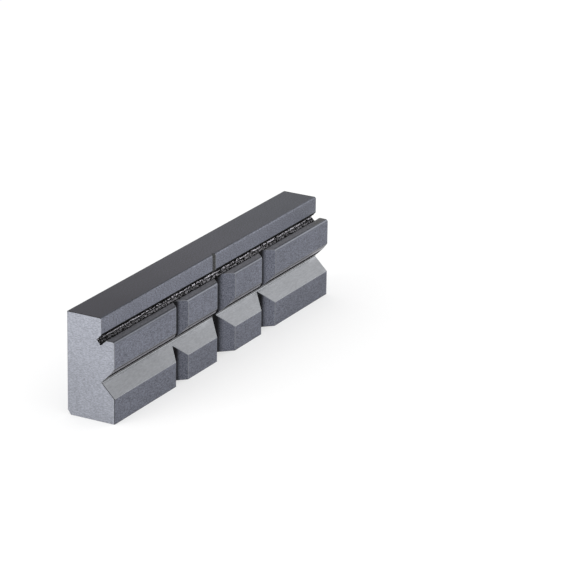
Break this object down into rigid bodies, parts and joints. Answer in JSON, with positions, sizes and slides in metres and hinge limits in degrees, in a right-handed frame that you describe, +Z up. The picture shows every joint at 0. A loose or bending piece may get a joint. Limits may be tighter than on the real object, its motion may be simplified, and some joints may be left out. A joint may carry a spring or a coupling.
{
  "type": "prismatic vise jaw",
  "caption": "Stepped steel vise jaw with a V groove along its clamping face, V grooves of graded width across it, and tapped holes in its back.",
  "frame": {"origin": "middle of the box around the underside, on the seat that the jaw stands on", "axes": "+X along the jaw, -Y out of the grooved clamping face, +Z up"},
  "size_m": [0.16, 0.02, 0.04],
  "materials": {
    "ground_steel": "hardened steel, finely ground to a satin grey"
  },
  "bodies": {
    "root": {"prismatic_jaw": "ground_steel"}
  },
  "joints": []
}
